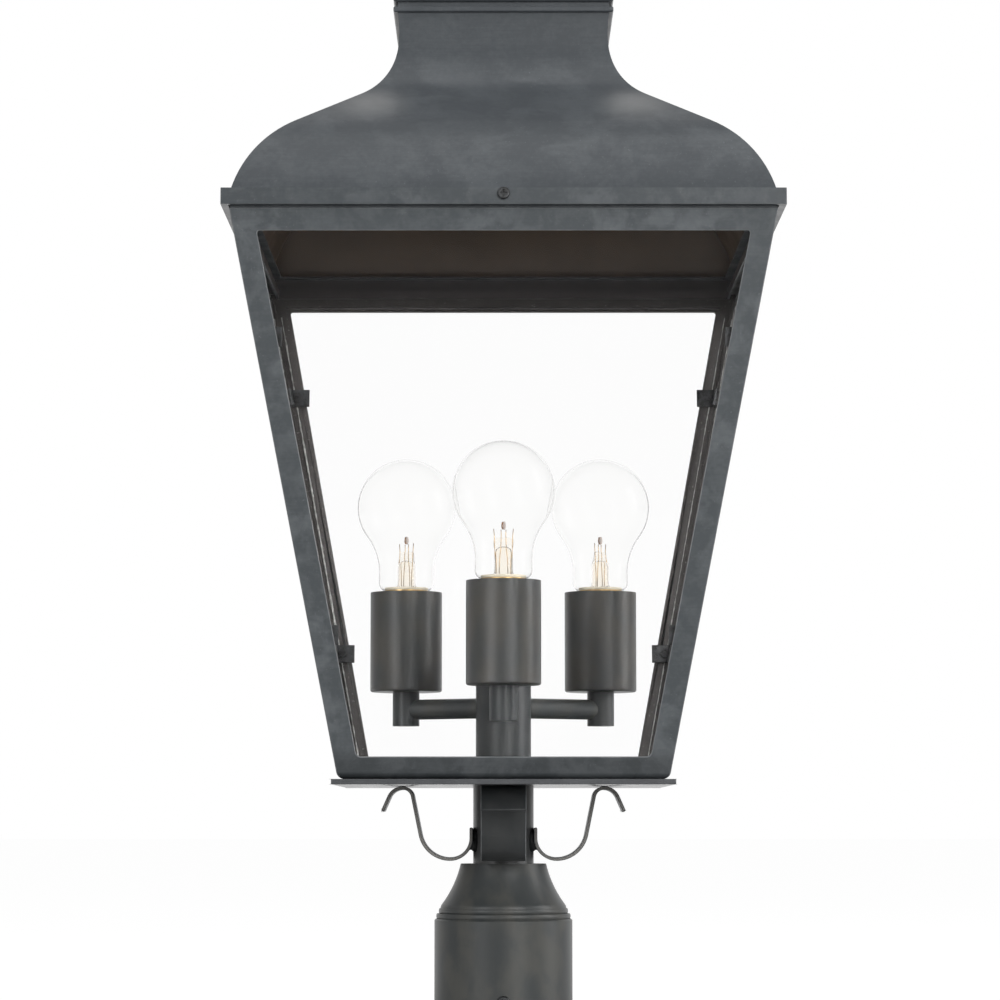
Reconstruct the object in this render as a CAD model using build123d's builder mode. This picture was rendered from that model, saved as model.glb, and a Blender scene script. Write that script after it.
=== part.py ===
from build123d import *
from math import asin, cos, degrees, radians, sin, sqrt
import os

os.makedirs("parts", exist_ok=True)

# A three-light post top lantern in painted steel. Millimetres, +Z up, the front
# faces -Y. The origin is the centre of the post fitter's bottom rim, so z = 0 is
# where the lantern's lowest edge lies when it is slipped over its post.

# ---- Driving dimensions ------------------------------------------------------

joint_gap = 0.1  # room left where curved pieces are welded or screwed together
seat_gap = 0.3  # room left between a moving piece and what it rests on
sheet = 2.0  # steel of the body frames
roof_sheet = 1.2  # thinner steel of the roof

# Post fitter, a casting that slips over a post of nominal 3 in tube
post_radius = 38.1
post_clearance = 0.4
fitter_wall = 2.6
bore_depth = 70.0
skirt_height = 76.2
bead_height = 3.1  # each of the two rings above the skirt
bead_bulge = 0.45
lower_bead_inset = 1.5
upper_bead_inset = 3.0
flare_radius = 63.7  # the long hollow sweep of the shoulder
flare_lean = 13.0
flare_turn = 24.0
flare_foot_radius = 4.0
fitter_top_radius = 25.5
fitter_roof = 4.0  # metal left above the fitter's inner hollow
fitter_edge = 0.8

# Three socket set screws that grip the post
set_screw_radius = 4.0
set_screw_height = 28.5
set_screw_proud = 1.2
set_screw_socket = 4.0
set_screw_countersink = 0.7
set_screw_bite = 0.6  # how far the tip stays back from the bore's wall

# Stem and the threaded tube that ties fitter, stem, base plate and column
stem_radius = 18.05
stem_wall = 2.0
stem_length = 45.9
tie_radius = 5.0
tie_bore = 3.2
tie_above_nut = 3.0
nut_flats = 17.0
nut_height = 5.0

# Scroll straps: flat bar bent from the stem out and up to the base plate
strap_thickness = 2.0
strap_width = 26.4
strap_tab = 5.2
strap_drop = 42.1
strap_heel_radius = 12.5
strap_belly_radius = 18.1
strap_lean = 11.5
strap_crest_radius = 6.1
strap_curl_radius = 8.8
strap_curl_turn = 66.0
strap_curl_end = 8.5  # straight end of the curl

# Base plate
plate_thickness = 3.1
plate_overhang = 3.6
plate_corner = 0.8

# Tapered body of four glazed frames
body_height = 319.0
body_top_half = 154.3
body_bottom_half = 94.7
stile = 13.2
top_rail = 12.7
bottom_rail = 12.5
frame_roll = 4.6  # radius of the rolled lower edge
frame_foot = 5.0  # flat of the rolled edge that lies on the base plate
window_top_corner = 1.5
window_bottom_corner = 3.5

# Glass and the corner clips that hold it
glass = 2.4
glass_lap = 2.5
clip_sheet = 1.0
clip_height = 11.4
clip_lap = 2.6
clip_upper_height = 247.5  # above the base plate
clip_lower_height = 80.7
clip_screw_inset = 8.0  # from the body's outer corner
clip_boss_radius = 2.2
clip_screw_radius = 1.4
clip_screw_head = 2.5
clip_screw_head_height = 1.5
clip_screw_bite = 1.3

# Ring on top of the frames that locates and carries the roof
ring_sheet = 1.5
ring_inset = 0.4
ring_shelf = 8.0
ring_lip = 4.0  # bent down from the shelf's inner edge

# Roof brim, a square bar frame with a thin inner flange
brim_overhang = 4.45  # from the top edge of the body out to the brim's face
brim_height = 9.3
brim_bar = 4.0
brim_lift = 1.2  # open shadow line between the frames and the brim
brim_flange = 1.2
brim_flange_width = 9.0
brim_corner = 0.6
brim_screw_radius = 2.0
brim_screw_drop = 3.2
brim_head_radius = 3.45
brim_head_height = 1.8
recess_span = 1.15  # a cross recess's length over its screw head's radius
recess_blade = 0.22  # and its width over the same

# Roof panels: outline of one side, from the eave up to the neck
eave_inset = 5.25
eave_lean = 15.7
eave_radius = 83.0
eave_turn = 41.2
slope_run = 43.3
neck_radius = 45.7
neck_turn = 51.1
throat_radius = 72.0
throat_turn = 15.5

# Plates on the neck, then the cap and its finial
neck_plate = 3.3
neck_plate_overhang = 2.4
neck_plate_edge = 1.0
neck_vent_radius = 14.0
band_height = 3.2
band_inset = 2.6
cap_foot_inset = 6.0
cap_foot_height = 2.5
cap_rise = 31.0
cap_top_half = 11.0
cap_sag = 5.5
finial_foot_radius = 9.5
finial_foot_height = 3.0
finial_neck_radius = 4.0
finial_neck_height = 7.0
finial_neck_hollow = 1.4
finial_ball_radius = 11.0
finial_tip_radius = 2.2
finial_tip_height = 13.1
finial_tip_bow = 0.45
finial_tip_flat = 0.8
finial_stud_radius = 3.0
finial_stud_length = 12.0
finial_nut_flats = 10.0
finial_nut_height = 5.0

# Lamp cluster
column_radius = 16.55
column_wall = 1.6
column_height = 68.0
column_cap_sheet = 1.6
column_cap_dome = 4.0
column_cap_bulge = 1.0
column_cap_flat = 4.0
column_cap_spigot = 6.0
lamp_circle = 68.5
arm_height = 43.8  # above the base plate
arm_radius = 6.1
arm_wall = 1.5
knuckle_radius = 8.15
knuckle_below = 9.9  # below the arm's centre
knuckle_above = 10.8
knuckle_bore = 2.8
nipple_radius = 4.75
nipple_height = 9.5
cover_radius = 21.85
cover_wall = 1.2
cover_floor = 1.5
cover_height = 60.7
cover_edge = 1.4
holder_radius = 17.5
holder_height = 54.0
hub_depth = 10.0
socket_depth = 24.0
shell_wall = 0.5
shell_clearance = 0.5
contact_radius = 4.0
contact_height = 4.4

# Clear household lamp, 60 mm globe on a 26 mm screw base
globe_radius = 30.0
globe_above_cover = 52.0  # centre of the globe above the cover's rim
glass_neck_radius = 16.8
glass_neck_drop = 39.5  # from the globe's centre down to the straight neck
glass_neck_length = 5.0
glass_heel_radius = 13.0
glass_heel_drop = 4.6
glass_heel_bulge = 0.9
bulb_wall = 0.6
lamp_stem_radius = 3.4
lamp_stem_height = 18.0
lamp_stem_flare = 7.0
lamp_stem_flare_height = 9.0
cap_thread_radius = 13.1
cap_thread_depth = 0.7
cap_thread_pitch = 3.6
cap_wall = 0.7
cap_taper = 3.2  # from the last thread down to the tip contact
cap_rim = 2.5
cap_tip_radius = 4.6
lead_radius = 0.4
lead_spread = 5.4
lead_height = 10.0
lead_bend = 1.2
filament_rise = 1.6

# ---- Sizes that follow -------------------------------------------------------

bore_radius = post_radius + post_clearance
skirt_radius = bore_radius + fitter_wall
flare_start = 90.0 - flare_lean
flare_end = flare_start - flare_turn
flare_drop = flare_radius * (cos(radians(flare_end)) - cos(radians(flare_start)))
foot_drop = flare_foot_radius * cos(radians(flare_end))
beads_top = skirt_height + 2 * bead_height
fitter_top = beads_top + foot_drop + flare_drop
plate_bottom = fitter_top + stem_length
plate_top = plate_bottom + plate_thickness
body_top = plate_top + body_height
plate_half = body_bottom_half + plate_overhang

wall_slope = (body_top_half - body_bottom_half) / body_height
wall_rise = 1 / sqrt(1 + wall_slope**2)  # height gained per mm up the sloping wall
wall_spread = wall_slope * wall_rise  # and the half width gained
slant = body_height / wall_rise

brim_half = body_top_half + brim_overhang
brim_bottom = body_top + brim_lift
brim_top = brim_bottom + brim_height
ring_half = body_top_half - ring_inset
eave_half = brim_half - eave_inset
reach = 2 * brim_half  # longer than anything that is cut with it

arm_level = plate_top + arm_height
cover_bottom = arm_level + knuckle_above
cover_top = cover_bottom + cover_height
globe_centre = cover_top + globe_above_cover
shell_radius = cap_thread_radius + shell_clearance
three_ways = ["front", "right", "left"]  # the lamps, their arms and the set screws
one_third = 360 / len(three_ways)
side_names = ["front", "right", "back", "left"]


# ---- Helpers -----------------------------------------------------------------


def keep(piece, name):
    """Label a finished piece and write it."""
    piece.part.label = name
    export_step(piece.part, f"parts/{name}.step")


def keep_turned(piece, name, angle):
    """Keep a copy of a piece turned about the lantern's axis."""
    with BuildPart() as copy:
        add(piece.part, rotation=(0, 0, angle))
    keep(copy, name)


def keep_four_sides(piece, name):
    """Keep a front piece on all four sides of the lantern."""
    for turn, side in enumerate(side_names):
        keep_turned(piece, f"{name}_{side}", 90 * turn)


def cut_to_front(low, high):
    """Keep only what lies between the two mitre planes of the front side."""
    with BuildSketch(Plane.XY.offset(low)) as wedge:
        Polygon((0, 0), (-reach, -reach), (reach, -reach), align=None)
    extrude(wedge.sketch, amount=high - low, mode=Mode.INTERSECT)


def front_wall(depth=0.0):
    """Plane of the front frame's outer face, or one that lies deeper in.

    Its x runs across the lantern and its y up the slope from the base plate."""
    outward = Vector(0, -wall_rise, -wall_spread)
    foot = Vector(0, -body_bottom_half, plate_top)
    return Plane(foot - outward * depth, x_dir=(1, 0, 0), z_dir=outward)


def wall_half(climb):
    """Half width of the front frame at a distance up its slope."""
    return body_bottom_half + climb * wall_spread


def window(lap=0.0):
    """Outline of the front window in the wall's plane, grown by a lap."""
    low = bottom_rail / wall_rise - lap
    high = slant - top_rail / wall_rise + lap
    side = stile - lap
    Polygon(
        (-wall_half(low) + side, low),
        (wall_half(low) - side, low),
        (wall_half(high) - side, high),
        (-wall_half(high) + side, high),
        align=None,
    )


def cross_recess(plane, head_radius, depth):
    """Cut a cross-head driver recess into the screw head on this plane."""
    with BuildSketch(plane) as cross:
        Rectangle(recess_span * head_radius, recess_blade * head_radius)
        Rectangle(recess_blade * head_radius, recess_span * head_radius)
    extrude(cross.sketch, amount=-depth, mode=Mode.SUBTRACT)


def lamp_place(height):
    """Plane over the front lamp's axis, with +Z up."""
    return Plane((0, -lamp_circle, height))


def on_lamp_axis(piece):
    """Move a piece made round the lantern's axis out to the front lamp's axis."""
    with BuildPart() as placed:
        with Locations((0, -lamp_circle, 0)):
            add(piece.part)
    return placed


def keep_three_ways(piece, name):
    """Keep a front piece of the lamp cluster, or a set screw, on all three sides."""
    for turn, way in enumerate(three_ways):
        keep_turned(piece, f"{name}_{way}", one_third * turn)


def on_three_arms(piece):
    """The front lamp's piece and its copies for the other two, as one part."""
    with BuildPart() as three:
        for turn in range(len(three_ways)):
            add(piece.part, rotation=(0, 0, one_third * turn))
    return three


# ---- Post fitter, stem and tie tube ------------------------------------------

hollow_top = fitter_top - fitter_roof
hollow_top_radius = fitter_top_radius - 2 * fitter_roof

with BuildPart() as post_fitter:
    with BuildSketch(Plane.XZ):
        with BuildLine():
            flare = JernArc(
                (fitter_top_radius, fitter_top),
                (sin(radians(flare_lean)), -cos(radians(flare_lean))),
                flare_radius,
                flare_turn,
            )
            foot = JernArc(flare @ 1, flare % 1, flare_foot_radius, flare_end - 90)
            upper = Line(foot @ 1, (skirt_radius - upper_bead_inset, beads_top))
            upper_bead = SagittaArc(upper @ 1, (upper @ 1) - (0, bead_height), bead_bulge)
            lower = Line(upper_bead @ 1, (skirt_radius - lower_bead_inset, beads_top - bead_height))
            lower_bead = SagittaArc(lower @ 1, (lower @ 1) - (0, bead_height), bead_bulge)
            Polyline(
                lower_bead @ 1,
                (skirt_radius - fitter_edge, skirt_height),
                (skirt_radius, skirt_height - fitter_edge),
                (skirt_radius, fitter_edge),
                (skirt_radius - fitter_edge, 0),
                (bore_radius, 0),
                (bore_radius, bore_depth),
                (bore_radius - fitter_wall, bore_depth),
                (hollow_top_radius, hollow_top),
                (tie_radius + joint_gap, hollow_top),
                (tie_radius + joint_gap, fitter_top),
                (fitter_top_radius, fitter_top),
            )
        make_face()
    revolve(axis=Axis.Z)
    for turn in range(len(three_ways)):
        outward = Vector(0, -1, 0).rotate(Axis.Z, one_third * turn)
        screw_line = Plane((0, 0, set_screw_height), z_dir=outward)
        with BuildSketch(screw_line.offset(post_radius / 2)):
            Circle(set_screw_radius + joint_gap)
        extrude(amount=post_radius, mode=Mode.SUBTRACT)
keep(post_fitter, "post_fitter")

screw_tip = bore_radius + set_screw_bite
screw_end = skirt_radius + set_screw_proud
with BuildPart() as set_screw:
    with BuildSketch(Plane.XZ.offset(screw_tip)):
        with Locations((0, set_screw_height)):
            Circle(set_screw_radius)
    extrude(amount=screw_end - screw_tip)
    with BuildSketch(Plane.XZ.offset(screw_end)):
        with Locations((0, set_screw_height)):
            RegularPolygon(set_screw_socket / 2, 6, major_radius=False)
    extrude(amount=-(screw_end - screw_tip) / 2, mode=Mode.SUBTRACT)
    chamfer(set_screw.edges().filter_by(GeomType.CIRCLE), length=set_screw_countersink)
keep_three_ways(set_screw, "set_screw")

with BuildPart() as stem:
    with BuildSketch(Plane.XY.offset(fitter_top)):
        Circle(stem_radius)
        Circle(stem_radius - stem_wall, mode=Mode.SUBTRACT)
    extrude(amount=stem_length)
keep(stem, "stem")

tie_bottom = hollow_top - nut_height - tie_above_nut
tie_top = plate_top + nut_height + tie_above_nut
with BuildPart() as tie_tube:
    with BuildSketch(Plane.XY.offset(tie_bottom)):
        Circle(tie_radius)
        Circle(tie_bore, mode=Mode.SUBTRACT)
    extrude(amount=tie_top - tie_bottom)
keep(tie_tube, "tie_tube")

with BuildPart() as locknuts:
    for level in (hollow_top - nut_height, plate_top):
        with BuildSketch(Plane.XY.offset(level)):
            RegularPolygon(nut_flats / 2, 6, major_radius=False)
            Circle(tie_radius + joint_gap, mode=Mode.SUBTRACT)
        extrude(amount=nut_height)
keep(locknuts, "locknuts")

# ---- Scroll straps -----------------------------------------------------------

# The strap is laid out from its tab on the stem: down, round the heel and belly,
# up the leaning riser, and over the crest that meets the plate, to the curled tip.
strap_out = stem_radius + joint_gap + strap_thickness / 2
crest_level = plate_bottom - joint_gap - strap_thickness / 2
belly_level = crest_level - strap_drop
lean_share = 1 - sin(radians(strap_lean))
riser_height = strap_drop - (strap_belly_radius + strap_crest_radius) * lean_share
riser = riser_height / cos(radians(strap_lean))
tab_top = belly_level + strap_heel_radius + strap_tab

with BuildPart() as strap:
    with BuildSketch(Plane.XZ):
        with BuildLine():
            tab = Line((strap_out, tab_top), (strap_out, tab_top - strap_tab))
            heel = JernArc(tab @ 1, tab % 1, strap_heel_radius, 90)
            belly = JernArc(heel @ 1, heel % 1, strap_belly_radius, 90 - strap_lean)
            up = Line(belly @ 1, (belly @ 1) + (belly % 1) * riser)
            crest = JernArc(up @ 1, up % 1, strap_crest_radius, strap_lean - 90)
            curl = JernArc(crest @ 1, crest % 1, strap_curl_radius, -strap_curl_turn)
            Line(curl @ 1, (curl @ 1) + (curl % 1) * strap_curl_end)
            offset(amount=strap_thickness / 2)
        make_face()
    extrude(amount=strap_width / 2, both=True)
for turn, side in enumerate(["right", "back", "left", "front"]):
    keep_turned(strap, f"scroll_strap_{side}", 90 * turn)

# ---- Base plate --------------------------------------------------------------

with BuildPart() as base_plate:
    with BuildSketch(Plane.XY.offset(plate_bottom)):
        RectangleRounded(2 * plate_half, 2 * plate_half, plate_corner)
        Circle(tie_radius + joint_gap, mode=Mode.SUBTRACT)
    extrude(amount=plate_thickness)
keep(base_plate, "base_plate")

# ---- Body frames -------------------------------------------------------------

# Screw places on the front frame, and how far up the wall the clips sit
clip_climbs = [clip_upper_height / wall_rise, clip_lower_height / wall_rise]
frame_screw_places = [
    (side * (wall_half(climb) - clip_screw_inset), climb) for climb in clip_climbs for side in (-1, 1)
]

with BuildPart() as frame:
    with BuildSketch(Plane.YZ):
        with BuildLine():
            FilletPolyline(
                (-wall_half(slant + frame_roll), plate_top + (slant + frame_roll) * wall_rise),
                (-body_bottom_half, plate_top),
                (-body_bottom_half + frame_roll + frame_foot, plate_top),
                radius=frame_roll,
            )
            offset(amount=sheet, side=Side.LEFT)
        make_face()
    extrude(amount=body_top_half, both=True)
    cut_to_front(plate_top, body_top)
    with BuildSketch(front_wall()) as opening:
        window()
        fillet(opening.vertices().group_by(Axis.Y)[0], window_bottom_corner)
        fillet(opening.vertices().group_by(Axis.Y)[-1], window_top_corner)
    extrude(amount=-2 * sheet, mode=Mode.SUBTRACT)
for turn, side in enumerate(side_names):
    with BuildPart() as piece:
        add(frame.part)
        if side in ("front", "back"):
            with BuildSketch(front_wall(sheet)):
                with Locations(*frame_screw_places):
                    Circle(clip_screw_radius + joint_gap)
            extrude(amount=clip_screw_bite + joint_gap, mode=Mode.SUBTRACT)
    keep_turned(piece, f"frame_{side}", 90 * turn)

# ---- Glass -------------------------------------------------------------------

with BuildPart() as pane:
    with BuildSketch(front_wall(sheet)):
        window(glass_lap)
    extrude(amount=-glass)
keep_four_sides(pane, "glass_pane")

# ---- Corner clips and their screws -------------------------------------------

clip_depth = sheet + glass


def clip_wing(climb):
    """One wing of a corner clip, on the front wall's right-hand end."""
    inner = wall_half(climb) - stile - clip_lap
    with BuildPart() as wing:
        with BuildSketch(front_wall(clip_depth)):
            Polygon(
                (inner, climb - clip_height / 2),
                (wall_half(climb), climb - clip_height / 2),
                (wall_half(climb), climb + clip_height / 2),
                (inner, climb + clip_height / 2),
                align=None,
            )
        extrude(amount=-clip_sheet)
        cut_to_front(plate_top, body_top)
    return wing.part


def corner_clips(climb):
    """The four corner clips at one level, each with the boss that its screw draws down."""
    place = (wall_half(climb) - clip_screw_inset, climb)
    with BuildPart() as clips:
        wing = clip_wing(climb)
        add(wing)
        add(mirror(wing, about=Plane((0, 0, 0), z_dir=(1, 1, 0)), mode=Mode.PRIVATE))
        with BuildSketch(front_wall(clip_depth)):
            with Locations(place):
                Circle(clip_boss_radius)
        extrude(amount=glass)
        with BuildSketch(front_wall(clip_depth + clip_sheet)):
            with Locations(place):
                Circle(clip_screw_radius + joint_gap)
        extrude(amount=clip_sheet + glass, mode=Mode.SUBTRACT)
        mirror(about=Plane.YZ)
        mirror(about=Plane.XZ)
    return clips


keep(corner_clips(clip_climbs[0]), "upper_corner_clips")
keep(corner_clips(clip_climbs[1]), "lower_corner_clips")

with BuildPart() as clip_screws:
    clip_face = clip_depth + clip_sheet
    with BuildSketch(front_wall(clip_face)):
        with Locations(*frame_screw_places):
            Circle(clip_screw_radius)
    extrude(amount=clip_face - sheet + clip_screw_bite)
    with BuildSketch(front_wall(clip_face)):
        with Locations(*frame_screw_places):
            Circle(clip_screw_head)
    extrude(amount=-clip_screw_head_height)
    head_plane = front_wall(clip_face + clip_screw_head_height)
    for x, climb in frame_screw_places:
        head_centre = head_plane.from_local_coords((x, climb))
        head_face = Plane(head_centre, x_dir=(1, 0, 0), z_dir=-head_plane.z_dir)
        cross_recess(head_face, clip_screw_head, clip_screw_head_height / 2)
    mirror(about=Plane.XZ)
keep(clip_screws, "clip_screws")

# ---- Ring on top of the body -------------------------------------------------

with BuildPart() as top_ring:
    with BuildSketch(Plane.XY.offset(body_top)):
        Rectangle(2 * ring_half, 2 * ring_half)
        Rectangle(2 * (ring_half - ring_shelf), 2 * (ring_half - ring_shelf), mode=Mode.SUBTRACT)
    extrude(amount=ring_sheet)
    with BuildSketch(Plane.XY.offset(body_top)):
        Rectangle(2 * ring_half, 2 * ring_half)
        Rectangle(2 * (ring_half - ring_sheet), 2 * (ring_half - ring_sheet), mode=Mode.SUBTRACT)
    extrude(amount=brim_top - brim_flange - body_top)
    lip_half = ring_half - ring_shelf + ring_sheet
    with BuildSketch(Plane.XY.offset(body_top)):
        Rectangle(2 * lip_half, 2 * lip_half)
        Rectangle(2 * (ring_half - ring_shelf), 2 * (ring_half - ring_shelf), mode=Mode.SUBTRACT)
    extrude(amount=-ring_lip)
keep(top_ring, "top_ring")

# ---- Roof --------------------------------------------------------------------

screw_level = brim_top - brim_screw_drop
flange_inner = brim_half - brim_flange_width - eave_inset

with BuildPart() as brim:
    with BuildSketch(Plane.XY.offset(brim_bottom)):
        RectangleRounded(2 * brim_half, 2 * brim_half, brim_corner)
        Rectangle(2 * (brim_half - brim_bar), 2 * (brim_half - brim_bar), mode=Mode.SUBTRACT)
    extrude(amount=brim_height)
    with BuildSketch(Plane.XY.offset(brim_top - brim_flange)):
        Rectangle(2 * (brim_half - brim_bar / 2), 2 * (brim_half - brim_bar / 2))
        Rectangle(2 * flange_inner, 2 * flange_inner, mode=Mode.SUBTRACT)
    extrude(amount=brim_flange)
    for plane in (Plane.XZ, Plane.YZ):
        with BuildSketch(plane.offset(-reach)):
            with Locations((0, screw_level)):
                Circle(brim_screw_radius + joint_gap)
        extrude(amount=2 * reach, mode=Mode.SUBTRACT)
keep(brim, "brim")

with BuildPart() as brim_screws:
    with BuildSketch(Plane.XZ.offset(ring_half + seat_gap)):
        with Locations((0, screw_level)):
            Circle(brim_screw_radius)
    extrude(amount=brim_half - ring_half - seat_gap)
    with BuildSketch(Plane.XZ.offset(brim_half)):
        with Locations((0, screw_level)):
            Circle(brim_head_radius)
    extrude(amount=brim_head_height)
    crown_edge = brim_screws.faces().sort_by(Axis.Y)[0].edges()
    fillet(crown_edge, brim_head_height / 2)
    head_face = Plane((0, -brim_half - brim_head_height, screw_level), x_dir=(1, 0, 0), z_dir=(0, -1, 0))
    cross_recess(head_face, brim_head_radius, brim_head_height / 2)
    front_screw = brim_screws.part
    for turn in (90, 180, 270):
        add(front_screw, rotation=(0, 0, turn))
keep(brim_screws, "brim_screws")

with BuildPart() as roof_panel:
    with BuildSketch(Plane.YZ):
        with BuildLine() as roof_line:
            eave = JernArc(
                (-eave_half, brim_top), (sin(radians(eave_lean)), cos(radians(eave_lean))),
                eave_radius, -eave_turn,
            )
            run = Line(eave @ 1, (eave @ 1) + (eave % 1) * slope_run)
            sweep_up = JernArc(run @ 1, run % 1, neck_radius, neck_turn)
            throat = JernArc(sweep_up @ 1, sweep_up % 1, throat_radius, throat_turn)
            neck_top = (throat @ 1).Y
            neck_half = -(throat @ 1).X
            offset(amount=roof_sheet, side=Side.RIGHT)
        make_face()
    extrude(amount=eave_half, both=True)
    cut_to_front(brim_top, neck_top)
keep_four_sides(roof_panel, "roof_panel")

plate_edge_half = neck_half + neck_plate_overhang


def neck_square(name, level, half, height, edge):
    """One of the square plates stacked on the neck, with a vent hole."""
    with BuildPart() as square:
        with BuildSketch(Plane.XY.offset(level)):
            Rectangle(2 * half, 2 * half)
        extrude(amount=height)
        if edge:
            fillet(square.edges(), edge)
        with BuildSketch(Plane.XY.offset(level)):
            Circle(neck_vent_radius)
        extrude(amount=height, mode=Mode.SUBTRACT)
    keep(square, name)


band_level = neck_top + neck_plate
cap_plate_level = band_level + band_height
cap_level = cap_plate_level + neck_plate
neck_square("neck_plate", neck_top, plate_edge_half, neck_plate, neck_plate_edge)
neck_square("neck_band", band_level, plate_edge_half - band_inset, band_height, 0)
neck_square("cap_plate", cap_plate_level, plate_edge_half, neck_plate, neck_plate_edge)

cap_foot_half = plate_edge_half - cap_foot_inset
cap_top = cap_level + cap_foot_height + cap_rise


def hipped(inset, drop):
    """The cap's solid form: a square dome with bowed sides, drawn in and down by these."""
    foot_half = cap_foot_half - inset
    top_half = cap_top_half - inset
    foot_top = cap_level + cap_foot_height
    with BuildPart() as form:
        for plane, mode in ((Plane.XZ, Mode.ADD), (Plane.YZ, Mode.INTERSECT)):
            with BuildSketch(plane):
                with BuildLine():
                    right = SagittaArc((foot_half, foot_top - drop), (top_half, cap_top - drop), -cap_sag)
                    Line(right @ 1, (-top_half, cap_top - drop))
                    left = SagittaArc((-top_half, cap_top - drop), (-foot_half, foot_top - drop), -cap_sag)
                    Line(left @ 1, (-foot_half, cap_level - drop))
                    Line((-foot_half, cap_level - drop), (foot_half, cap_level - drop))
                    Line((foot_half, cap_level - drop), right @ 0)
                make_face()
            extrude(amount=cap_foot_half, both=True, mode=mode)
    return form.part


with BuildPart() as roof_cap:
    add(hipped(0, 0))
    add(hipped(roof_sheet, roof_sheet), mode=Mode.SUBTRACT)
    with BuildSketch(Plane.XY.offset(cap_level)):
        Circle(finial_stud_radius + joint_gap)
    extrude(amount=cap_top - cap_level, mode=Mode.SUBTRACT)
keep(roof_cap, "roof_cap")

finial_neck = cap_top + finial_foot_height + finial_neck_height
ball_centre = finial_neck + sqrt(finial_ball_radius**2 - finial_neck_radius**2)
ball_shoulder = ball_centre + sqrt(finial_ball_radius**2 - finial_tip_radius**2)
finial_top = ball_shoulder + finial_tip_height
with BuildPart() as finial:
    with BuildSketch(Plane.XZ):
        with BuildLine():
            foot = Polyline(
                (0, cap_top - finial_stud_length),
                (finial_stud_radius, cap_top - finial_stud_length),
                (finial_stud_radius, cap_top),
                (finial_foot_radius, cap_top),
                (finial_foot_radius, cap_top + finial_foot_height),
            )
            hollow = SagittaArc(foot @ 1, (finial_neck_radius, finial_neck), finial_neck_hollow)
            ball = ThreePointArc(
                hollow @ 1, (finial_ball_radius, ball_centre), (finial_tip_radius, ball_shoulder)
            )
            tip = SagittaArc(ball @ 1, (finial_tip_flat, finial_top), finial_tip_bow)
            Polyline(tip @ 1, (0, finial_top), foot @ 0)
        make_face()
    revolve(axis=Axis.Z)
keep(finial, "finial")

with BuildPart() as finial_nut:
    with BuildSketch(Plane.XY.offset(cap_top - roof_sheet - finial_nut_height)):
        RegularPolygon(finial_nut_flats / 2, 6, major_radius=False)
        Circle(finial_stud_radius + joint_gap, mode=Mode.SUBTRACT)
    extrude(amount=finial_nut_height)
keep(finial_nut, "finial_nut")

# ---- Column and arms ---------------------------------------------------------

column_top = plate_top + column_height


def arm_line(start):
    """Plane across the front arm, facing outwards, at a distance from the axis."""
    return Plane((0, -start, arm_level), x_dir=(1, 0, 0), z_dir=(0, -1, 0))


with BuildPart() as column:
    with BuildSketch(Plane.XY.offset(plate_top)):
        Circle(column_radius)
        Circle(column_radius - column_wall, mode=Mode.SUBTRACT)
    extrude(amount=column_height)
    with BuildSketch(arm_line(0)):
        Circle(arm_radius - arm_wall)
    wire_hole = extrude(amount=2 * column_radius, mode=Mode.PRIVATE)
    for turn in range(len(three_ways)):
        add(wire_hole, rotation=(0, 0, one_third * turn), mode=Mode.SUBTRACT)
keep(column, "column")

with BuildPart() as column_cap:
    with BuildSketch(Plane.XZ):
        spigot = column_radius - column_wall - joint_gap
        with BuildLine():
            rim = Polyline(
                (0, column_top - column_cap_spigot),
                (spigot, column_top - column_cap_spigot),
                (spigot, column_top),
                (column_radius, column_top),
                (column_radius, column_top + column_cap_sheet),
            )
            dome = SagittaArc(
                rim @ 1,
                (column_cap_flat, column_top + column_cap_sheet + column_cap_dome),
                -column_cap_bulge,
            )
            Polyline(dome @ 1, (0, column_top + column_cap_sheet + column_cap_dome), rim @ 0)
        make_face()
    revolve(axis=Axis.Z)
keep(column_cap, "column_cap")

with BuildPart() as arm:
    with BuildSketch(arm_line(0)):
        Circle(arm_radius)
        Circle(arm_radius - arm_wall, mode=Mode.SUBTRACT)
    extrude(amount=lamp_circle)
    with Locations((0, 0, arm_level)):
        Cylinder(column_radius + joint_gap, reach, mode=Mode.SUBTRACT)
    with Locations((0, -lamp_circle, arm_level)):
        Cylinder(knuckle_radius + joint_gap, reach, mode=Mode.SUBTRACT)
keep_three_ways(arm, "arm")

with BuildPart() as knuckle:
    with BuildSketch(lamp_place(arm_level - knuckle_below)):
        Circle(knuckle_radius)
    extrude(amount=knuckle_below + knuckle_above)
    with BuildSketch(lamp_place(cover_bottom)):
        Circle(nipple_radius)
    extrude(amount=nipple_height)
    with BuildSketch(lamp_place(arm_level)):
        Circle(knuckle_bore)
    extrude(amount=knuckle_above + nipple_height, mode=Mode.SUBTRACT)
    with BuildSketch(arm_line(lamp_circle - 2 * knuckle_radius)):
        Circle(knuckle_bore)
    extrude(amount=2 * knuckle_radius, mode=Mode.SUBTRACT)
keep_three_ways(knuckle, "knuckle")

# ---- Lampholders -------------------------------------------------------------

with BuildPart() as socket_cover:
    with BuildSketch(lamp_place(cover_bottom)):
        Circle(cover_radius)
    extrude(amount=cover_height)
    fillet(socket_cover.faces().sort_by(Axis.Z)[0].edges(), cover_edge)
    with BuildSketch(lamp_place(cover_bottom + cover_floor)):
        Circle(cover_radius - cover_wall)
    extrude(amount=cover_height, mode=Mode.SUBTRACT)
    with BuildSketch(lamp_place(cover_bottom)):
        Circle(nipple_radius + joint_gap)
    extrude(amount=cover_floor, mode=Mode.SUBTRACT)
keep_three_ways(socket_cover, "socket_cover")

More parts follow.
